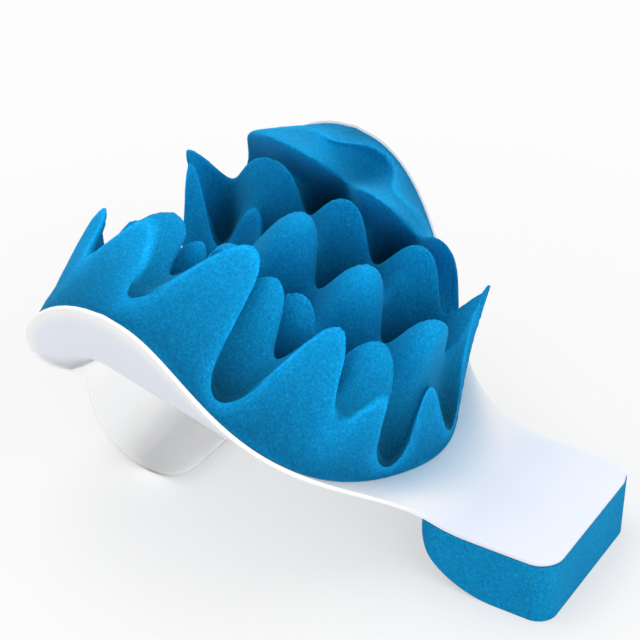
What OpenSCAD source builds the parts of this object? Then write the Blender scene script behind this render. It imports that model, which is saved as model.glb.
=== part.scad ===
// Neck and shoulder relaxer: a bent plastic cradle that carries a finger-foam pad and stands on a foam block.
// Millimetres, +Z up. The long axis is X, the tongue points to +X and the curled leg lies at -X.
// A place on the sheet is (s, w): s runs along its middle from the tongue's free end, w runs across it.

/* [Sheet] */
// Thickness of the plastic sheet
sheet_t = 2; // [1.5:0.5:3]
// Width of the tongue
tongue_w = 90; // [80:1:96]
// Radius of the sheet's outer corners, seen from above
corner_r = 12; // [6:1:16]
// Height of the tongue's top face above the table
tongue_h = 33.5; // [28:0.5:38]
// Slope of the ramp that carries the pad, in degrees
ramp_slope = 14; // [11:1:17]
// Radius of the bend from the tongue to the ramp
tongue_bend_r = 68; // [50:1:90]
// Overall length from the tongue's free end to the curl
sheet_len = 258; // [252:1:275]

/* [Leg] */
// Radius of the bend at the top of the curled leg
curl_top_r = 36; // [30:1:40]
// Radius of the bend at the bottom of the curled leg
curl_foot_r = 38.5; // [36:0.5:42]
// Angle that the foot bend turns through, in degrees
curl_foot_turn = 124; // [95:1:130]
// Width of the leg
leg_w = 88; // [80:1:92]

/* [Cradle] */
// Width of the cradle, measured round its curve
cradle_w = 288; // [264:2:296]
// Radius that the cradle is bent to
cradle_r = 74; // [70:1:90]
// Width of the flat strip along the middle of the cradle
core_w = 72; // [60:1:80]
// Place along the sheet where the arms begin to widen
arm_start = 62; // [54:1:70]
// Place along the sheet where the arms are full width
arm_full = 206; // [190:1:212]
// Place along the sheet where the arms begin to narrow
arm_narrow = 214; // [208:1:222]

/* [Cradle pad] */
// Place along the sheet where the pad begins
pad_start = 81; // [76:1:96]
// Place along the sheet where the pad's arms end
pad_end = 264; // [248:1:266]
// Depth of the notch in the pad's end, at the nape
notch_depth = 48; // [10:2:52]
// Radius of the pad's rounded front edge
front_r = 42; // [35:1:50]
// Bare lip of the sheet left round the pad
pad_lip = 1.5; // [1:0.5:5]
// Thickness of the bond between a foam piece and the sheet
bond_t = 0.4; // [0.3:0.1:0.8]
// Height of the foam at a finger's tip
finger_h = 72; // [55:1:75]
// Height of the foam at the bottom of a valley
valley_h = 9.5; // [6:0.5:16]
// Spacing of the fingers along the pad
pitch_along = 45.5; // [42:0.5:52]
// Spacing of the fingers across the pad
pitch_across = 47.5; // [44:0.5:52]
// Turn of the finger pattern on the pad, in degrees
pattern_turn = 13.5; // [0:0.5:20]
// Lean of the fingers towards the tongue, in degrees
finger_tilt = 20.5; // [8:0.5:24]

/* [Foot block] */
// Length of the block
block_len = 70; // [56:1:74]
// Length of the block's flat foot
foot_len = 27; // [20:1:40]
// Radius of the block's upright corners
block_corner_r = 10; // [4:1:14]

/* [Hidden] */
deg = 180 / PI;
// Bends along the middle of the sheet. Bend centres are measured from the tongue's free end.
top_x = curl_top_r - sheet_len;
top_z = curl_foot_r;
ramp_end_x = top_x + curl_top_r * sin(ramp_slope);
ramp_end_z = top_z + curl_top_r * cos(ramp_slope);
bend_tangent = tongue_bend_r * tan(ramp_slope / 2);
meet_x = ramp_end_x + (ramp_end_z - tongue_h) / tan(ramp_slope);
tongue_len = -meet_x - bend_tangent;
bend_len = tongue_bend_r * ramp_slope / deg;
ramp_x = meet_x - bend_tangent * cos(ramp_slope);
ramp_z = tongue_h + bend_tangent * sin(ramp_slope);
ramp_len = norm([ramp_end_x - ramp_x, ramp_end_z - ramp_z]);
// Places along the sheet where one stretch ends and the next begins
ramp_s = tongue_len + bend_len;
top_s = ramp_s + ramp_len;
side_s = top_s + curl_top_r * (ramp_slope + 90) / deg;
foot_s = side_s + curl_foot_r * 90 / deg;
sheet_s = side_s + curl_foot_r * curl_foot_turn / deg;
// The cradle's bend grows from nothing on the tongue and dies out round the curl
bend_grow = [37, 68];
bend_fade = [262, 295];
arm_end = arm_narrow + 68;
// The first finger, and how the rows close up where the pad turns over the curl
first_finger = [120.5, -53.5];
crowd_start = 208;
crowd = 0.02;
// Place across where they no longer close up
crowd_side = 150;
// Share of the wall's angle that a finger leans by
lean = 0.86;
// Share of their height that the fingers lose over the curl, and where they lose it
end_drop = 0.05;
end_span = [200, 236];
tilt_grow = [80, 108];
tilt_fade = [220, 256];
tilt_loss = 22;
// Roundness of the fingers' tips, 0 for a plain wave
round_tips = 0.4;
// The notch is deepest inside the first and gone past the second share of the half width
notch_span = [0.25, 0.6];
// Numbers of facets
sheet_across = 26;
pad_along = 24;
pad_across = 32;
pad_under = 16;
block_curve = 6;

function clamp01(q) = min(1, max(0, q));
function ease(span, t) = let (q = clamp01((t - span[0]) / (span[1] - span[0]))) q * q * (3 - 2 * q);
function steps(from, to, n) = [for (i = [0 : n - 1]) from + (to - from) * i / n];

// Middle line of the sheet's top face at s: [x, z, tilt of its normal towards +X]
function spine(s) =
    s < tongue_len ? [-s, tongue_h, 0]
    : s < ramp_s ? let (a = (s - tongue_len) / tongue_bend_r * deg)
        [-tongue_len - tongue_bend_r * sin(a), tongue_h + tongue_bend_r * (1 - cos(a)), a]
    : s < top_s ? let (d = s - ramp_s)
        [ramp_x - d * cos(ramp_slope), ramp_z + d * sin(ramp_slope), ramp_slope]
    : s < side_s ? let (a = ramp_slope - (s - top_s) / curl_top_r * deg)
        [top_x + curl_top_r * sin(a), top_z + curl_top_r * cos(a), a]
    : let (a = -90 - (s - side_s) / curl_foot_r * deg)
        [curl_foot_r - sheet_len + curl_foot_r * sin(a), curl_foot_r + curl_foot_r * cos(a), a];

// Bend of the cross-section at s, in degrees for each millimetre round it
function bend(s) = max(0.0001, ease(bend_grow, s) * (1 - ease(bend_fade, s))) * deg / cradle_r;

// Angle of the sheet's wall at (s, w), 0 where it lies flat
function wall(s, w) = max(0, abs(w) - core_w / 2) * bend(s);

// Direction that leaves the sheet at a wall angle and a tilt, towards the inside of the cradle
function away(tilt, angle, w) = [sin(tilt) * cos(angle), -sign(w) * sin(angle), cos(tilt) * cos(angle)];

// Point at height h above the sheet's top face
function above(s, w, h) =
    let (c = spine(s), a = wall(s, w), r = deg / bend(s), rise = r * (1 - cos(a)))
    [c[0] + rise * sin(c[2]), sign(w) * (min(abs(w), core_w / 2) + r * sin(a)), c[1] + rise * cos(c[2])]
    + h * away(c[2], a, w);

// Half width of the flat blank at s, with its rounded corners
function corner(d) = d >= corner_r ? 0 : corner_r - sqrt(corner_r ^ 2 - (corner_r - max(0, d)) ^ 2);
function half_w(s) =
    tongue_w / 2
    + (cradle_w - tongue_w) / 2 * ease([arm_start, arm_full], s)
    - (cradle_w - leg_w) / 2 * ease([arm_narrow, arm_end], s)
    - corner(s) - corner(sheet_s - s);

// Foam height at (s, w): a square pattern of round-tipped fingers with valleys between them
function foam_h(s, w) =
    let (d = s + crowd * (1 - w / crowd_side) * max(0, s - crowd_start) ^ 2 - first_finger[0])
    let (e = w - first_finger[1])
    let (u = (d * cos(pattern_turn) + e * sin(pattern_turn)) / pitch_along)
    let (v = (e * cos(pattern_turn) - d * sin(pattern_turn)) / pitch_across)
    let (q = (2 + cos(360 * u) + cos(360 * v)) / 4)
    let (tip = finger_h * (1 - end_drop * ease(end_span, s)))
    valley_h + (tip - valley_h) * (q - round_tips * sin(360 * q) / (2 * PI));

// Direction that the foam grows in at (s, w)
function foam_dir(s, w) =
    let (a = wall(s, w), tilt = finger_tilt * ease(tilt_grow, s) - tilt_loss * ease(tilt_fade, s))
    away(tilt, a * lean, w);

// Place on the pad: a runs 0 to 1 from its front to its end, b runs -1 to 1 across it
function pad_place(a, b) =
    let (front = pad_start + front_r * (1 - sqrt(1 - b ^ 2)))
    let (end = pad_end - notch_depth * (1 - ease(notch_span, abs(b))))
    let (s = front + a * (end - front))
    [s, b * (half_w(s) - pad_lip)];

// Places of the rows of points along the sheet, closer together at its corners and bends
rounding = [for (i = [0 : 5]) corner_r * (1 - cos(15 * i))];
places = concat(
    rounding,
    steps(corner_r, tongue_len, 8),
    steps(tongue_len, ramp_s, 3),
    steps(ramp_s, top_s, 16),
    steps(top_s, side_s, 10),
    steps(side_s, foot_s, 9),
    [foot_s],
    [for (i = [5 : -1 : 0]) let (s = sheet_s - rounding[i]) if (s > foot_s + 0.5) s]);

// Rows of points at height h above the sheet's top face
function sheet_grid(h) = [for (s = places) [for (j = [0 : sheet_across])
    above(s, (2 * j / sheet_across - 1) * half_w(s), h)]];

// Closed solid between two grids of points, the first of them on top. The second may have fewer columns.
module between(top, bottom) {
    n = len(top);
    m = len(top[0]);
    under = len(bottom[0]);
    step = (m - 1) / (under - 1);
    points = [for (grid = [top, bottom]) for (row = grid) for (p = row) p];
    at = function (k, i, j) k * n * m + i * (k == 0 ? m : under) + j;
    // Splits a four-sided patch along its shorter diagonal
    quad = function (a, b, c, d) norm(points[a] - points[c]) <= norm(points[b] - points[d])
        ? [[a, b, c], [a, c, d]]
        : [[a, b, d], [b, c, d]];
    upper = [for (i = [0 : n - 2]) for (j = [0 : m - 2]) each
        quad(at(0, i, j), at(0, i + 1, j), at(0, i + 1, j + 1), at(0, i, j + 1))];
    lower = [for (i = [0 : n - 2]) for (j = [0 : under - 2]) each
        quad(at(1, i, j), at(1, i, j + 1), at(1, i + 1, j + 1), at(1, i + 1, j))];
    sides = [for (i = [0 : n - 2]) each concat(
        quad(at(0, i, 0), at(1, i, 0), at(1, i + 1, 0), at(0, i + 1, 0)),
        quad(at(0, i, m - 1), at(0, i + 1, m - 1), at(1, i + 1, under - 1), at(1, i, under - 1)))];
    // Each end is a strip of triangles, on the edges above and then on the edges below
    end = function (i) concat(
        [for (j = [0 : m - 2]) [at(0, i, j), at(0, i, j + 1), at(1, i, floor((j + 1) / step))]],
        [for (j = [0 : under - 2]) [at(1, i, j + 1), at(1, i, j), at(0, i, j * step + floor(step / 2))]]);
    back = [for (face = end(n - 1)) [face[0], face[2], face[1]]];
    polyhedron(points, concat(upper, lower, sides, end(0), back), convexity = 10);
}

// Moves a shape from the tongue's end to the middle of the part
module centred() {
    back_x = min([for (row = sheet_grid(0)) for (p = row) p[0]]);
    translate([-back_x / 2, 0, 0]) children();
}

module support_frame() {
    color([0.90, 0.93, 0.98]) centred() between(sheet_grid(0), sheet_grid(-sheet_t));
}

module cradle_pad() {
    grid = function (share, across) [for (i = [0 : pad_along]) [for (j = [0 : across])
        let (p = pad_place(i / pad_along, 2 * j / across - 1))
        above(p[0], p[1], bond_t) + share * foam_h(p[0], p[1]) * foam_dir(p[0], p[1])]];
    color([0.05, 0.55, 0.85]) centred() between(grid(1, pad_across), grid(0, pad_under));
}

module foot_block() {
    // The top face follows the sheet's underside, the foot curves up to it as a quarter ellipse
    top = [for (s = concat([0], steps(tongue_len, block_len, block_curve), [block_len]))
        let (c = spine(s), d = sheet_t + bond_t)
        [c[0] - d * sin(c[2]), c[1] - d * cos(c[2])]];
    back = top[len(top) - 1];
    curve_len = -back[0] - foot_len;
    foot = [for (a = [6 : 6 : 90]) [-foot_len - curve_len * cos(a), back[1] * (1 - sin(a))]];
    color([0.10, 0.50, 0.75]) centred() intersection() {
        rotate([90, 0, 0]) linear_extrude(tongue_w, center = true) polygon(concat([[0, 0]], top, foot));
        linear_extrude(2 * tongue_h) translate([back[0], -tongue_w / 2])
            offset(r = block_corner_r) offset(delta = -block_corner_r) square([-back[0], tongue_w]);
    }
}

support_frame();
cradle_pad();
foot_block();
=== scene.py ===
"""Neck and shoulder relaxer: a bent plastic cradle with a finger-foam pad, standing on a foam block.

Lengths in the shape functions are millimetres and angles are radians. Lengths in the materials, the lamps
and the camera are metres. Z is up, the long axis is X, the tongue points to +X and the curled leg lies at
-X. A place on the sheet is (s, w): s runs along its middle from the tongue's free end, w runs across it.
"""

import bpy
import numpy as np
from mathutils import Matrix, Vector


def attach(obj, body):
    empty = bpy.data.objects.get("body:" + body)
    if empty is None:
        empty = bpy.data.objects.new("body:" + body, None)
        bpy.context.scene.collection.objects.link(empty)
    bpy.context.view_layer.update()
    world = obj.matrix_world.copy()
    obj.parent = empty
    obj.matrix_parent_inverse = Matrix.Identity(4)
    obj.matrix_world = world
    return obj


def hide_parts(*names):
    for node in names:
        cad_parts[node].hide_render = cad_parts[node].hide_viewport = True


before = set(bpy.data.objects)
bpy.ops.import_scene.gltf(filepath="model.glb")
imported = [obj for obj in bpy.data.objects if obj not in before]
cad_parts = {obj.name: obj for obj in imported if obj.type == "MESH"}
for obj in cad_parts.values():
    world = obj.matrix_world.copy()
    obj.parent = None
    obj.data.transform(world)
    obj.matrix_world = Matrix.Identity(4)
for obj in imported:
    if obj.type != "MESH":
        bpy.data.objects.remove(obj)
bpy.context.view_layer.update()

# Sheet: its thickness, the bends seen from its side, and its widths with the places where they change
SHEET_T = 2.0
TONGUE_W = 90.0
CORNER_R = 12.0
TONGUE_H = 33.5
RAMP_SLOPE = np.radians(14.0)
TONGUE_BEND_R = 68.0
SHEET_LEN = 258.0
CURL_TOP_R = 36.0
CURL_FOOT_R = 38.5
CURL_FOOT_TURN = np.radians(124.0)
LEG_W = 88.0
CRADLE_W = 288.0
CRADLE_R = 74.0
CORE_W = 72.0
ARM_START = 62.0
ARM_FULL = 206.0
ARM_NARROW = 214.0
ARM_END = ARM_NARROW + 68.0
BEND_GROW = (37.0, 68.0)
BEND_FADE = (262.0, 295.0)

# Foam pad: its outline on the sheet, the height and pitch of its fingers, where their pattern starts and
# closes up, and how far they lean
PAD_START = 81.0
PAD_END = 264.0
NOTCH_DEPTH = 48.0
NOTCH_SPAN = (0.25, 0.6)
FRONT_R = 42.0
PAD_LIP = 1.5
BOND_T = 0.4
FINGER_H = 72.0
VALLEY_H = 9.5
PITCH_ALONG = 45.5
PITCH_ACROSS = 47.5
PATTERN_TURN = np.radians(13.5)
FIRST_FINGER = (120.5, -53.5)
CROWD_START = 208.0
CROWD = 0.02
CROWD_SIDE = 150.0
LEAN = 0.86
END_DROP = 0.05
END_SPAN = (200.0, 236.0)
FINGER_TILT = np.radians(20.5)
TILT_LOSS = np.radians(22.0)
TILT_GROW = (80.0, 108.0)
TILT_FADE = (220.0, 256.0)
ROUND_TIPS = 0.4
# Radius of the pad's cut rims. Height of its slow unevenness, which is full on foam above a height, and
# spread of its fine one
RIM_R = 3.0
UNEVEN = 0.6
UNEVEN_FULL_H = 30.0
FUZZ = 0.16

# Foot block: its length, its flat foot's, its upright corners and its thinnest edge
BLOCK_LEN = 70.0
FOOT_LEN = 27.0
BLOCK_CORNER_R = 10.0
BLOCK_TIP_T = 0.3

# Numbers of rows and columns in the meshes, and of rows on the foam's cut walls. The pad's columns are
# placed as if it were as wide as this half width on each side everywhere
SHEET_ROWS = 172
SHEET_COLUMNS = 111
PAD_ROWS = 141
PAD_COLUMNS = 221
WALL_ROWS = 14
COLUMN_HALF_W = CRADLE_W / 2.5
BLOCK_ROWS = 81
BLOCK_COLUMNS = 71
BLOCK_WALL_ROWS = 10

# Widths of the bevels on rims sharper than the angle, in metres and degrees
SHEET_BEVEL = 0.0005
BLOCK_BEVEL = 0.0006
SHARP_ANGLE = 50

# Masks for the sheet, in millimetres: where foam lies behind it, from the foam's edges inwards; where it
# is bare, along s; and where the pad casts blue, ahead of the pad, under it and across the sheet
PAD_TINT = (0, 8)
BLOCK_TINT = (0, 28)
BLOCK_TINT_PAST_END = 10
BLOCK_TINT_PAST_SIDE = 30
BARE_SPAN = (PAD_END - 24, PAD_END + 8)
CAST_AHEAD = (32, 0)
CAST_UNDER = (-12, -2)
CAST_SIDE = (-62, -30)
# Mask for the pad: painted shade in the hollows that fades towards the far rim, a painted pale highlight
# along the rims, and painted shade at the foot of the cut walls and on the base
HOLLOW_POWER = 0.9
HOLLOW_AT_RIM = 0.35
HOLLOW_REACH = (0, 35)
RIM_GLOW_REACH = (0, 3)
RIM_GLOW_HEIGHT = (0.15, 0.5)
RIM_GLOW = 0.25
WALL_SHADE = 0.62
BASE_SHADE = 0.5

# Bends along the middle of the sheet, measured from the tongue's free end
TOP_X = CURL_TOP_R - SHEET_LEN
TOP_Z = CURL_FOOT_R
RAMP_END_X = TOP_X + CURL_TOP_R * np.sin(RAMP_SLOPE)
RAMP_END_Z = TOP_Z + CURL_TOP_R * np.cos(RAMP_SLOPE)
BEND_TANGENT = TONGUE_BEND_R * np.tan(RAMP_SLOPE / 2)
MEET_X = RAMP_END_X + (RAMP_END_Z - TONGUE_H) / np.tan(RAMP_SLOPE)
TONGUE_LEN = -MEET_X - BEND_TANGENT
RAMP_X = MEET_X - BEND_TANGENT * np.cos(RAMP_SLOPE)
RAMP_Z = TONGUE_H + BEND_TANGENT * np.sin(RAMP_SLOPE)
RAMP_LEN = np.hypot(RAMP_END_X - RAMP_X, RAMP_END_Z - RAMP_Z)
RAMP_S = TONGUE_LEN + TONGUE_BEND_R * RAMP_SLOPE
TOP_S = RAMP_S + RAMP_LEN
SIDE_S = TOP_S + CURL_TOP_R * (RAMP_SLOPE + np.pi / 2)
SHEET_S = SIDE_S + CURL_FOOT_R * CURL_FOOT_TURN


def ease(span, t):
    """Smooth step from 0 at the span's first value to 1 at its second: q squared times (3 - 2 q)."""
    q = np.clip((t - span[0]) / (span[1] - span[0]), 0, 1)
    return q * q * (3 - 2 * q)


def spine(s):
    """Middle line of the top face at s, and the tilt of its normal towards +X: a line, an arc up to the
    ramp, a line, an arc over the curl's top and an arc round its foot."""
    up = (s - TONGUE_LEN) / TONGUE_BEND_R
    d = s - RAMP_S
    over = RAMP_SLOPE - (s - TOP_S) / CURL_TOP_R
    under = -np.pi / 2 - (s - SIDE_S) / CURL_FOOT_R
    where = [s < TONGUE_LEN, s < RAMP_S, s < TOP_S, s < SIDE_S]
    x = np.select(where, [
        -s,
        -TONGUE_LEN - TONGUE_BEND_R * np.sin(up),
        RAMP_X - d * np.cos(RAMP_SLOPE),
        TOP_X + CURL_TOP_R * np.sin(over),
    ], CURL_FOOT_R - SHEET_LEN + CURL_FOOT_R * np.sin(under))
    z = np.select(where, [
        TONGUE_H + 0 * s,
        TONGUE_H + TONGUE_BEND_R * (1 - np.cos(up)),
        RAMP_Z + d * np.sin(RAMP_SLOPE),
        TOP_Z + CURL_TOP_R * np.cos(over),
    ], CURL_FOOT_R + CURL_FOOT_R * np.cos(under))
    tilt = np.select(where, [0 * s, up, RAMP_SLOPE + 0 * s, over], under)
    return x, z, tilt


def bend(s):
    """Curvature of the cross-section at s: one over the cradle's radius, faded in and out along s."""
    return np.maximum(1e-6, ease(BEND_GROW, s) * (1 - ease(BEND_FADE, s)) / CRADLE_R)


def wall(s, w):
    """Angle of the sheet's wall: the length round the curve past the flat strip, times the curvature."""
    return np.maximum(0, np.abs(w) - CORE_W / 2) * bend(s)


def away(tilt, angle, w):
    """Unit direction at a tilt along the sheet and a wall angle across it, towards the cradle's inside."""
    return np.stack([np.sin(tilt) * np.cos(angle), -np.sign(w) * np.sin(angle),
                     np.cos(tilt) * np.cos(angle)], -1)


def above(s, w, h):
    """Point at height h above the top face: the middle line, moved along a circular arc across the sheet,
    plus h times the surface normal."""
    x, z, tilt = spine(s)
    angle, radius = wall(s, w), 1 / bend(s)
    rise = radius * (1 - np.cos(angle))
    across = np.sign(w) * (np.minimum(np.abs(w), CORE_W / 2) + radius * np.sin(angle))
    place = np.stack([x + rise * np.sin(tilt), across, z + rise * np.cos(tilt)], -1)
    return place + np.asarray(h)[..., None] * away(tilt, angle, w)


def corner(d):
    """Width lost to a round corner at distance d from the end: its radius less a circle's height."""
    return CORNER_R - np.sqrt(CORNER_R ** 2 - (CORNER_R - np.clip(d, 0, CORNER_R)) ** 2)


def half_width(s):
    """Half width of the flat blank at s: the tongue's, eased out to the arms' and in to the leg's."""
    return (TONGUE_W / 2 + (CRADLE_W - TONGUE_W) / 2 * ease((ARM_START, ARM_FULL), s)
            - (CRADLE_W - LEG_W) / 2 * ease((ARM_NARROW, ARM_END), s)
            - corner(s) - corner(SHEET_S - s))


def foam_height(s, w):
    """Foam height: two crossed cosine waves on a turned square pattern, with the tips rounded by a sine."""
    d = s + CROWD * (1 - w / CROWD_SIDE) * np.maximum(0, s - CROWD_START) ** 2 - FIRST_FINGER[0]
    e = w - FIRST_FINGER[1]
    u = (d * np.cos(PATTERN_TURN) + e * np.sin(PATTERN_TURN)) / PITCH_ALONG
    v = (e * np.cos(PATTERN_TURN) - d * np.sin(PATTERN_TURN)) / PITCH_ACROSS
    q = (2 + np.cos(2 * np.pi * u) + np.cos(2 * np.pi * v)) / 4
    tip = FINGER_H * (1 - END_DROP * ease(END_SPAN, s))
    return VALLEY_H + (tip - VALLEY_H) * (q - ROUND_TIPS * np.sin(2 * np.pi * q) / (2 * np.pi))


def foam_direction(s, w):
    """Direction that the foam grows in: a share of the wall's angle, tilted towards the tongue."""
    tilt = FINGER_TILT * ease(TILT_GROW, s) - TILT_LOSS * ease(TILT_FADE, s)
    return away(tilt, wall(s, w) * LEAN, w)


def finger_share(height):
    """Share of a finger's height: nought in a valley and one at a full tip."""
    return np.clip((height - VALLEY_H) / (FINGER_H - VALLEY_H), 0, 1)


def pad_front(b):
    """Place where the pad begins, b from -1 to 1 across it: a quarter circle on each side."""
    return PAD_START + FRONT_R * (1 - np.sqrt(np.maximum(0, 1 - b * b)))


def pad_back(b):
    """Place where the pad ends, b from -1 to 1 across it: the arms' ends, with the notch between them."""
    return PAD_END - NOTCH_DEPTH * (1 - ease(NOTCH_SPAN, np.abs(b)))


def rim_steps(length, count):
    """Places from nought to a length: steps round a quarter circle of the rim's radius at each end, and
    even ones between them."""
    turn = np.radians(np.arange(0, 90, 15))[:, None]
    start = RIM_R * (1 - np.cos(turn)) + 0 * length
    run = RIM_R + (length - 2 * RIM_R) * np.linspace(0, 1, count)[:, None]
    return np.concatenate([start, run, (length - start)[::-1]])


def rim_drop(d):
    """Height lost to the round rim at distance d from the pad's edge: a quarter circle."""
    return RIM_R - np.sqrt(RIM_R ** 2 - (RIM_R - np.clip(d, 0, RIM_R)) ** 2)


# The part stands with the middle of its box over the origin
middle_s = np.linspace(0, SHEET_S, 400)[:, None]
middle_w = np.linspace(-1, 1, 61)[None, :] * half_width(middle_s)
MIDDLE_X = above(middle_s, middle_w, 0 * middle_w)[..., 0].min() / 2


def mesh_piece(name, points, quads):
    """Object at the origin from points in millimetres and four-sided faces, all shaded smooth."""
    mesh = bpy.data.meshes.new(name)
    mesh.vertices.add(len(points))
    placed = (points - [MIDDLE_X, 0, 0]) * 0.001
    mesh.vertices.foreach_set("co", placed.astype(np.float32).ravel())
    mesh.loops.add(quads.size)
    mesh.loops.foreach_set("vertex_index", quads.astype(np.int32).ravel())
    mesh.polygons.add(len(quads))
    mesh.polygons.foreach_set("loop_start", np.arange(0, quads.size, 4, dtype=np.int32))
    mesh.update(calc_edges=True)
    mesh.validate()
    mesh.polygons.foreach_set("use_smooth", np.ones(len(mesh.polygons), bool))
    piece = bpy.data.objects.new(name, mesh)
    bpy.context.scene.collection.objects.link(piece)
    return piece


def paint(piece, label, values, domain="POINT"):
    """Mask for the materials: one value for each point, or for each face."""
    mask = piece.data.attributes.new(label, "FLOAT", domain)
    mask.data.foreach_set("value", values.astype(np.float32))


def roughen(piece, amount):
    """Moves each point along its normal by its own amount in millimetres."""
    vertices = piece.data.vertices
    normals, places = np.empty(3 * len(vertices), np.float32), np.empty(3 * len(vertices), np.float32)
    vertices.foreach_get("normal", normals)
    vertices.foreach_get("co", places)
    places = places.reshape(-1, 3) + 0.001 * amount[:, None] * normals.reshape(-1, 3)
    vertices.foreach_set("co", places.astype(np.float32).ravel())
    piece.data.update()


def shell(top, bottom, rows):
    """Closed shell between two grids of points: both grids, and a wall of rows between their rims.

    The wall's point at share t between the rims is bottom + t (top - bottom). Returns the points, the
    faces, all pointing outwards, and a mask of the wall's faces.
    """
    n, m = top.shape[:2]
    index = np.arange(n * m).reshape(n, m)
    rim = np.concatenate([index[0, :-1], index[:-1, -1], index[-1, :0:-1], index[:0:-1, 0]])
    grids = []
    for k, flip in ((0, False), (n * m, True)):
        i = index + k
        loop = [i[:-1, :-1], i[1:, :-1], i[1:, 1:], i[:-1, 1:]]
        grids.append(np.stack(loop[::-1] if flip else loop, -1).reshape(-1, 4))
    flat_top, flat_bottom = top.reshape(-1, 3), bottom.reshape(-1, 3)
    share = np.linspace(0, 1, rows + 1)[1:-1, None, None]
    between = flat_bottom[rim] + share * (flat_top[rim] - flat_bottom[rim])
    walls = 2 * n * m + np.arange(between.shape[0] * len(rim)).reshape(-1, len(rim))
    levels = np.concatenate([(rim + n * m)[None], walls, rim[None]])
    low, high = levels[:-1], levels[1:]
    sides = np.stack([low, high, np.roll(high, -1, 1), np.roll(low, -1, 1)], -1).reshape(-1, 4)
    points = np.concatenate([flat_top, flat_bottom, between.reshape(-1, 3)])
    quads = np.concatenate(grids + [sides])
    cut = np.arange(len(quads)) >= len(quads) - len(sides)
    return points, quads, cut


def finish_edges(piece, width):
    """Rounds the piece's sharp rims with a narrow bevel of two segments."""
    rim = piece.modifiers.new("rim", "BEVEL")
    rim.width = width
    rim.segments = 2
    rim.limit_method = "ANGLE"
    rim.angle_limit = np.radians(SHARP_ANGLE)
    rim.harden_normals = False
    return piece


# ---------------------------------------------------------------- materials


def group(name, inputs, outputs):
    """Empty shader node group with named inputs (name, type, value) and outputs (name, type)."""
    tree = bpy.data.node_groups.new(name, "ShaderNodeTree")
    for label, kind, value in inputs:
        socket = tree.interface.new_socket(label, in_out="INPUT", socket_type="NodeSocket" + kind)
        socket.default_value = value
    for label, kind in outputs:
        tree.interface.new_socket(label, in_out="OUTPUT", socket_type="NodeSocket" + kind)
    return tree, tree.nodes.new("NodeGroupInput"), tree.nodes.new("NodeGroupOutput")


def node(tree, kind, links=None, **settings):
    """New shader node with its settings, and its inputs, by name or number, linked or set."""
    made = tree.nodes.new("ShaderNode" + kind)
    for key, value in settings.items():
        setattr(made, key, value)
    for key, value in (links or {}).items():
        if isinstance(value, bpy.types.NodeSocket):
            tree.links.new(value, made.inputs[key])
        else:
            made.inputs[key].default_value = value
    return made


def blend_colour(tree, share, first, second, mode="MIX"):
    """Colour of a Mix node: share of the second colour over the first."""
    mix = node(tree, "Mix", {0: share, 6: first, 7: second}, data_type="RGBA", blend_type=mode)
    return mix.outputs[2]


def darken(tree, colour, value):
    """Colour times a value."""
    grey = node(tree, "CombineColor", {0: value, 1: value, 2: value}).outputs[0]
    return blend_colour(tree, 1.0, colour, grey, "MULTIPLY")


def mask_of(tree, label):
    """A painted mask's value."""
    return node(tree, "Attribute", attribute_name=label, attribute_type="GEOMETRY").outputs["Fac"]


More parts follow.
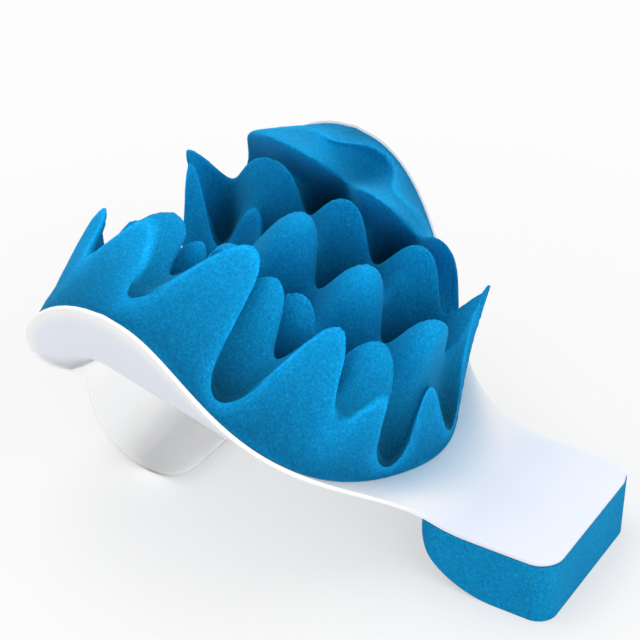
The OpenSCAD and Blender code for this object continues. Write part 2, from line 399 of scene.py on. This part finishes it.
def foam_cells():
    """Open foam cells: small shallow pores and a few deep ones from Voronoi distances, pale specks where
    cell walls catch the light, and slow changes of tone from noise."""
    tree, given, result = group("Foam cells", [
        ("Colour", "Color", (0.0, 0.3, 0.6, 1)), ("Pore colour", "Color", (0.0, 0.1, 0.3, 1)),
        ("Speck colour", "Color", (0.1, 0.5, 0.8, 1)), ("Cut colour", "Color", (0.1, 0.4, 0.7, 1)),
        ("Cut", "Float", 0.0), ("Cells", "Float", 900.0), ("Deep pores", "Float", 0.3),
    ], [("Colour", "Color"), ("Roughness", "Float"), ("Height", "Float")])
    place = node(tree, "TexCoord").outputs["Object"]
    cells = given.outputs["Cells"]
    fine = node(tree, "TexVoronoi", {"Vector": place, "Scale": cells, "Randomness": 1.0})
    wide = node(tree, "Math", {0: cells, 1: 0.3}, operation="MULTIPLY").outputs[0]
    large = node(tree, "TexVoronoi", {"Vector": place, "Scale": wide, "Randomness": 1.0})
    near_fine, near_large = fine.outputs["Distance"], large.outputs["Distance"]
    small_pore = node(tree, "MapRange", {0: near_fine, 1: 0.15, 2: 0.5, 3: 0.24, 4: 0.0}).outputs[0]
    large_pore = node(tree, "MapRange", {0: near_large, 1: 0.08, 2: 0.22, 3: 1.0, 4: 0.0}).outputs[0]
    rare = node(tree, "TexNoise", {"Vector": place, "Scale": 170.0, "Detail": 1.0})
    seldom = node(tree, "MapRange", {0: rare.outputs[0], 1: 0.58, 2: 0.68, 4: given.outputs["Deep pores"]})
    few = node(tree, "Math", {0: large_pore, 1: seldom.outputs[0]}, operation="MULTIPLY").outputs[0]
    pores = node(tree, "Math", {0: small_pore, 1: few}, operation="MAXIMUM").outputs[0]
    walls = node(tree, "MapRange", {0: near_fine, 1: 0.55, 2: 0.85}).outputs[0]
    grain = node(tree, "TexNoise", {"Vector": place, "Scale": 720.0, "Detail": 3.0, "Roughness": 0.6})
    sparkle = node(tree, "MapRange", {0: grain.outputs[0], 1: 0.5, 2: 0.72, 4: 0.3}).outputs[0]
    specks = node(tree, "Math", {0: walls, 1: sparkle}, operation="MULTIPLY").outputs[0]
    slow = node(tree, "TexNoise", {"Vector": place, "Scale": 38.0, "Detail": 2.0})
    light = node(tree, "MapRange", {0: slow.outputs[0], 1: 0.3, 2: 0.7, 3: 0.94, 4: 1.06}).outputs[0]
    mottle = node(tree, "MapRange", {0: grain.outputs[0], 1: 0.3, 2: 0.7, 3: 0.8, 4: 1.2}).outputs[0]
    tone = node(tree, "Math", {0: light, 1: mottle}, operation="MULTIPLY").outputs[0]
    body = blend_colour(tree, given.outputs["Cut"], given.outputs["Colour"], given.outputs["Cut colour"])
    holed = blend_colour(tree, pores, body, given.outputs["Pore colour"])
    speckled = blend_colour(tree, specks, holed, given.outputs["Speck colour"])
    tree.links.new(darken(tree, speckled, tone), result.inputs["Colour"])
    rough = node(tree, "MapRange", {0: pores, 3: 0.86, 4: 1.0})
    tree.links.new(rough.outputs[0], result.inputs["Roughness"])
    up = node(tree, "Math", {0: grain.outputs[0], 1: pores}, operation="SUBTRACT")
    tree.links.new(up.outputs[0], result.inputs["Height"])
    return tree


def material(name):
    """Material with a Principled shader linked to its output. Returns it, its tree and the shader."""
    made = bpy.data.materials.new(name)
    made.use_nodes = True
    tree = made.node_tree
    return made, tree, tree.nodes["Principled BSDF"]


def foam(name, cells, bump, sheen, **values):
    """Open-cell foam: the cells group on a rough shader with a soft sheen. The valley mask paints shade
    above nought and a pale rim highlight below. The cut mask picks the colour of cut faces."""
    made, tree, shader = material(name)
    values = {key.replace("_", " "): value for key, value in values.items()}
    group_node = node(tree, "Group", {**values, "Cut": mask_of(tree, "cut")}, node_tree=cells)
    shade = node(tree, "MapRange", {0: mask_of(tree, "valley"), 3: 1.0, 4: 0.16}, clamp=False)
    colour = darken(tree, group_node.outputs["Colour"], shade.outputs[0])
    tree.links.new(colour, shader.inputs["Base Color"])
    tree.links.new(group_node.outputs["Roughness"], shader.inputs["Roughness"])
    height = group_node.outputs["Height"]
    lift = node(tree, "Bump", {"Strength": bump, "Distance": 0.0004, "Height": height})
    tree.links.new(lift.outputs[0], shader.inputs["Normal"])
    shader.inputs["Specular IOR Level"].default_value = 0.05
    shader.inputs["Sheen Weight"].default_value = sheen
    shader.inputs["Sheen Roughness"].default_value = 0.4
    shader.inputs["Sheen Tint"].default_value = (0.05, 0.55, 0.95, 1)
    return made


def milky_plastic():
    """Milky polypropylene sheet: white with a faint cloud, pale blue where foam is bonded behind it and
    bluer where the pad is mirrored in it, light that passes through the bare leg, and a satin gloss worn
    by noise."""
    made, tree, shader = material("milky polypropylene")
    place = node(tree, "TexCoord").outputs["Object"]
    cloud = node(tree, "TexNoise", {"Vector": place, "Scale": 26.0, "Detail": 3.0})
    tone = node(tree, "MapRange", {0: cloud.outputs[0], 1: 0.3, 2: 0.7, 3: 0.0, 4: 1.0})
    milk = blend_colour(tree, tone.outputs[0], (0.885, 0.885, 0.888, 1), (0.91, 0.91, 0.913, 1))
    backed = blend_colour(tree, tone.outputs[0], (0.755, 0.795, 0.885, 1), (0.775, 0.815, 0.905, 1))
    plain = blend_colour(tree, mask_of(tree, "foam_behind"), milk, backed)
    weight = node(tree, "MapRange", {0: mask_of(tree, "blue_cast"), 4: 0.75}).outputs[0]
    colour = blend_colour(tree, weight, plain, (0.34, 0.55, 0.72, 1))
    scuff = node(tree, "TexNoise", {"Vector": place, "Scale": 210.0, "Detail": 5.0, "Roughness": 0.65})
    gloss = node(tree, "MapRange", {0: scuff.outputs[0], 1: 0.35, 2: 0.7, 3: 0.34, 4: 0.44})
    wave = node(tree, "TexNoise", {"Vector": place, "Scale": 90.0, "Detail": 2.0})
    lift = node(tree, "Bump", {"Strength": 0.06, "Distance": 0.0006, "Height": wave.outputs[0]})
    through = node(tree, "MapRange", {0: mask_of(tree, "bare"), 3: 0.05, 4: 0.95})
    tree.links.new(colour, shader.inputs["Base Color"])
    tree.links.new(gloss.outputs[0], shader.inputs["Roughness"])
    tree.links.new(lift.outputs[0], shader.inputs["Normal"])
    tree.links.new(through.outputs[0], shader.inputs["Subsurface Weight"])
    shader.inputs["Subsurface Radius"].default_value = (1.0, 1.0, 1.0)
    shader.inputs["Subsurface Scale"].default_value = 0.05
    shader.inputs["IOR"].default_value = 1.49
    return made


# ------------------------------------------------------------------- pieces


def sheet_rows():
    """Places of the sheet's rows: close together round the end corners, even along the rest."""
    turn = np.radians(np.arange(0, 90, 7.5))
    start = CORNER_R * (1 - np.cos(turn))
    run = np.linspace(CORNER_R, SHEET_S - CORNER_R, SHEET_ROWS)
    return np.concatenate([start, run, (SHEET_S - start)[::-1]])


def support_sheet():
    """Plastic sheet: the top face at height 0 and the bottom face a sheet's thickness below it. Its masks
    are smooth steps of the distance inside the foam's edges, of s, and of the distance ahead of the pad."""
    s = sheet_rows()[:, None]
    b = np.linspace(-1, 1, SHEET_COLUMNS)[None, :]
    w = b * half_width(s)
    s = s + 0 * w
    top, bottom = above(s, w, 0 * w), above(s, w, 0 * w - SHEET_T)
    points, quads, _ = shell(top, bottom, 1)
    piece = mesh_piece("smooth_sheet", points, quads)
    ahead = pad_front(b) - s
    under_pad = np.minimum.reduce([-ahead, pad_back(b) - s, half_width(s) - PAD_LIP - np.abs(w)])
    over_block = np.minimum(BLOCK_LEN + BLOCK_TINT_PAST_END - s,
                            TONGUE_W / 2 + BLOCK_TINT_PAST_SIDE - np.abs(w))
    behind = np.maximum(ease(PAD_TINT, under_pad), ease(BLOCK_TINT, over_block)).ravel()
    bare = ease(BARE_SPAN, s).ravel()
    cast = (ease(CAST_AHEAD, ahead) * ease(CAST_SIDE, w) * ease(CAST_UNDER, ahead)).ravel()
    paint(piece, "foam_behind", np.concatenate([behind, behind]))
    paint(piece, "bare", np.concatenate([bare, bare]))
    paint(piece, "blue_cast", np.concatenate([cast, 0 * cast]))
    return finish_edges(piece, SHEET_BEVEL)


def pad_shade(height, inside, to_far_rim):
    """Painted shade on the pad's top: it grows from a finger's tip to a valley's bottom and fades towards
    the far rim. It falls below nought along the rims, which paints a pale rim highlight there."""
    share = finger_share(height)
    reach = HOLLOW_AT_RIM + (1 - HOLLOW_AT_RIM) * ease(HOLLOW_REACH, to_far_rim)
    rim_glow = (1 - ease(RIM_GLOW_REACH, inside)) * ease(RIM_GLOW_HEIGHT, share)
    return (1 - share) ** HOLLOW_POWER * reach * (1 - rim_glow) - RIM_GLOW * rim_glow


def pad_fuzz(height, count):
    """Fine unevenness of the pad's points in millimetres: random steps, whole at the tips and in the
    valleys, a quarter as large half way up the fingers, and none on the base."""
    fuzz = np.random.default_rng(5).normal(0, FUZZ, count)
    fuzz[:height.size] *= (0.25 + 0.75 * np.abs(2 * finger_share(height) - 1)).ravel()
    fuzz[height.size:2 * height.size] = 0
    return fuzz


def finger_pad():
    """Finger-foam pad: the bond's height under it, and the foam's height along its own direction on top. A
    slow unevenness of three sine waves moves the top by less than a millimetre, and its rims are round."""
    b = rim_steps(np.full((1, 1), 2 * COLUMN_HALF_W), PAD_COLUMNS).T / COLUMN_HALF_W - 1
    s = pad_front(b) + rim_steps(pad_back(b) - pad_front(b), PAD_ROWS)
    edge = half_width(s) - PAD_LIP
    w = b * edge
    base = above(s, w, BOND_T + 0 * s)
    uneven = (np.sin(s / 7.3 + 1.1 * np.sin(w / 9.1)) + np.sin(w / 6.1 + 2.0) + np.sin((s + w) / 11.7)) / 3
    height = foam_height(s, w)
    inside = np.minimum.reduce([s - pad_front(b), pad_back(b) - s, edge - np.abs(w)])
    lift = height + UNEVEN * uneven * np.minimum(1, height / UNEVEN_FULL_H) - rim_drop(inside)
    top = base + lift[..., None] * foam_direction(s, w)
    points, quads, cut = shell(top, base, WALL_ROWS)
    piece = mesh_piece("finger_foam_pad", points, quads)
    paint(piece, "cut", cut, "FACE")
    # Painted shade in the hollows, at the walls' foot and on the base, and a painted pale highlight on the
    # rims
    on_top = pad_shade(height, inside, edge - w).ravel()
    on_base = np.full(height.size, BASE_SHADE)
    rim_size = (len(points) - 2 * height.size) // (WALL_ROWS - 1)
    on_walls = np.repeat(np.linspace(WALL_SHADE, 0, WALL_ROWS - 1), rim_size)
    paint(piece, "valley", np.concatenate([on_top, on_base, on_walls]))
    roughen(piece, pad_fuzz(height, len(points)))
    piece.data.set_sharp_from_angle(angle=np.radians(SHARP_ANGLE))
    return piece


def block_foam():
    """Foam foot block: a top that follows the sheet's underside over a foot that curves up to it as a
    quarter ellipse, seen from above a rectangle with round corners."""
    s = np.linspace(0, BLOCK_LEN, 141)
    face = above(s, 0 * s, 0 * s - SHEET_T - BOND_T)
    back_x, back_z = face[-1, 0], face[-1, 2]
    swing = (1 - np.cos(np.linspace(0, np.pi, BLOCK_COLUMNS))) / 2
    y = (2 * swing[None, :] - 1) * TONGUE_W / 2
    inset = np.clip(np.abs(y) - (TONGUE_W / 2 - BLOCK_CORNER_R), 0, BLOCK_CORNER_R)
    inset = BLOCK_CORNER_R - np.sqrt(BLOCK_CORNER_R ** 2 - inset ** 2)
    along = (1 - np.cos(np.linspace(0, np.pi, BLOCK_ROWS)))[:, None] / 2
    x = -inset + along * (back_x + 2 * inset)
    run = np.clip((-FOOT_LEN - x) / (-FOOT_LEN - back_x), 0, 1)
    high = np.interp(x, face[::-1, 0], face[::-1, 2])
    low = np.minimum(back_z * (1 - np.sqrt(1 - run ** 2)), high - BLOCK_TIP_T)
    y = y + 0 * x
    points, quads, _ = shell(np.stack([x, y, high], -1), np.stack([x, y, low], -1), BLOCK_WALL_ROWS)
    piece = mesh_piece("curved_foot_block", points, quads)
    paint(piece, "cut", np.ones(len(quads)), "FACE")
    return finish_edges(piece, BLOCK_BEVEL)


cells = foam_cells()
pad_foam = foam("finger foam", cells, bump=0.5, sheen=0.4, Colour=(0.003, 0.30, 0.66, 1),
                Pore_colour=(0.001, 0.10, 0.28, 1), Speck_colour=(0.03, 0.52, 0.90, 1),
                Cut_colour=(0.003, 0.27, 0.60, 1), Cells=1400.0, Deep_pores=0.2)
foot_foam = foam("foot foam", cells, bump=0.5, sheen=0.2, Colour=(0.003, 0.22, 0.47, 1),
                 Pore_colour=(0.001, 0.06, 0.17, 1), Speck_colour=(0.02, 0.36, 0.62, 1),
                 Cut_colour=(0.003, 0.22, 0.46, 1), Cells=1100.0, Deep_pores=0.75)
sheet = support_sheet()
pad = finger_pad()
block = block_foam()
for piece, finish, cad_node, slot in (
        (sheet, milky_plastic(), "support_frame", "frame_plastic"),
        (pad, pad_foam, "cradle_pad", "pad_foam"),
        (block, foot_foam, "foot_block", "block_foam")):
    piece.data.materials.append(finish)
    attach(piece, "root")
    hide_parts(cad_node)

# ---------------------------------------------------------- floor and light

# Brightness of the ground where the camera or a reflection sees it, and of the sky that lights the object
GROUND_WHITE = 0.985
SKY_LIGHT = 0.85
# Depth of the table under the part, so that the two faces don't meet
TABLE_GAP = 0.0002


def seen_ray(tree):
    """One for camera, glossy and transmitted rays, nought for the rays that light the object."""
    path = node(tree, "LightPath").outputs
    seen = node(tree, "Math", {0: path["Is Camera Ray"], 1: path["Is Glossy Ray"]}, operation="MAXIMUM")
    seen = node(tree, "Math", {0: seen.outputs[0], 1: path["Is Transmission Ray"]}, operation="MAXIMUM")
    return seen.outputs[0]


def floor_material():
    """White table: a pale diffuse face whose own light, for the camera and for reflections, makes it fade
    to white away from the object."""
    made, tree, shader = material("white table")
    place = node(tree, "TexCoord").outputs["Object"]
    far = node(tree, "VectorMath", {0: place, 1: (1.0, 1.0, 0.0)}, operation="MULTIPLY").outputs[0]
    reach = node(tree, "VectorMath", {0: far}, operation="LENGTH").outputs["Value"]
    fade = node(tree, "MapRange", {0: reach, 1: 0.1, 2: 0.5, 3: 0.51, 4: 1.0},
                interpolation_type="SMOOTHSTEP").outputs[0]
    share = node(tree, "Math", {0: fade, 1: seen_ray(tree)}, operation="MULTIPLY").outputs[0]
    shader.inputs["Base Color"].default_value = (0.78, 0.78, 0.775, 1)
    shader.inputs["Roughness"].default_value = 0.55
    shader.inputs["Specular IOR Level"].default_value = 0.25
    glow = node(tree, "Emission", {"Color": (1, 1, 1, 1), "Strength": GROUND_WHITE})
    mixed = node(tree, "MixShader", {0: share, 1: shader.outputs[0], 2: glow.outputs[0]})
    tree.links.new(mixed.outputs[0], tree.nodes["Material Output"].inputs["Surface"])
    return made


def flat_square(name, half, finish):
    """Square face on the table's plane, half its side each way from the origin."""
    mesh = bpy.data.meshes.new(name)
    corners = [(-half, -half, 0), (half, -half, 0), (half, half, 0), (-half, half, 0)]
    mesh.from_pydata(corners, [], [(0, 1, 2, 3)])
    mesh.materials.append(finish)
    made = bpy.data.objects.new(name, mesh)
    bpy.context.scene.collection.objects.link(made)
    return made


def lamp(name, place, aim, size, watts):
    """Square soft box at a place, turned to its aim."""
    data = bpy.data.lights.new(name, "AREA")
    data.shape = "SQUARE"
    data.size = size
    data.energy = watts
    made = bpy.data.objects.new(name, data)
    made.location = place
    made.rotation_euler = (Vector(aim) - Vector(place)).to_track_quat("-Z", "Y").to_euler()
    bpy.context.scene.collection.objects.link(made)
    return made


def bulb(name, place, radius, watts):
    """Small round lamp that neither the camera nor a reflection sees."""
    data = bpy.data.lights.new(name, "POINT")
    data.shadow_soft_size = radius
    data.energy = watts
    made = bpy.data.objects.new(name, data)
    made.location = place
    made.visible_camera = False
    made.visible_glossy = False
    bpy.context.scene.collection.objects.link(made)


floor = flat_square("table", 6.0, floor_material())
floor.location.z = -TABLE_GAP
lamp("key", place=(-0.4, -0.1, 1.3), aim=(0, 0, 0.05), size=0.9, watts=5.5)
lamp("fill", place=(1.1, -0.6, 0.6), aim=(0, 0, 0.05), size=1.0, watts=6.0)
# Stands for the light that the milky leg passes on inside its curl
for y in np.linspace(-0.04, 0.04, 9):
    bulb("inside the curl", place=(-0.09, y, 0.012), radius=0.005, watts=0.0028)

world = bpy.data.worlds.new("studio")
world.use_nodes = True
sky = world.node_tree
soft = node(sky, "Background", {"Color": (1, 1, 1, 1), "Strength": SKY_LIGHT})
white = node(sky, "Background", {"Color": (1, 1, 1, 1), "Strength": GROUND_WHITE})
mixed = node(sky, "MixShader", {0: seen_ray(sky), 1: soft.outputs[0], 2: white.outputs[0]})
sky.links.new(mixed.outputs[0], sky.nodes["World Output"].inputs["Surface"])
bpy.context.scene.world = world

# Viewpoint: its place in metres, and its turns about Z, X and its own axis in degrees
camera_data = bpy.data.cameras.new("camera")
camera_data.sensor_width = 36.0
camera_data.lens = 112.8
camera = bpy.data.objects.new("camera", camera_data)
camera.location = (0.2671 - MIDDLE_X * 0.001, -0.6995, 0.6023)
turn, lift, roll = np.radians([30.77, 57.86, 0.86])
camera.rotation_euler = (Matrix.Rotation(turn, 3, "Z") @ Matrix.Rotation(lift, 3, "X")
                         @ Matrix.Rotation(roll, 3, "Z")).to_euler()
bpy.context.scene.collection.objects.link(camera)
bpy.context.scene.camera = camera
bpy.context.scene.view_settings.view_transform = "Standard"
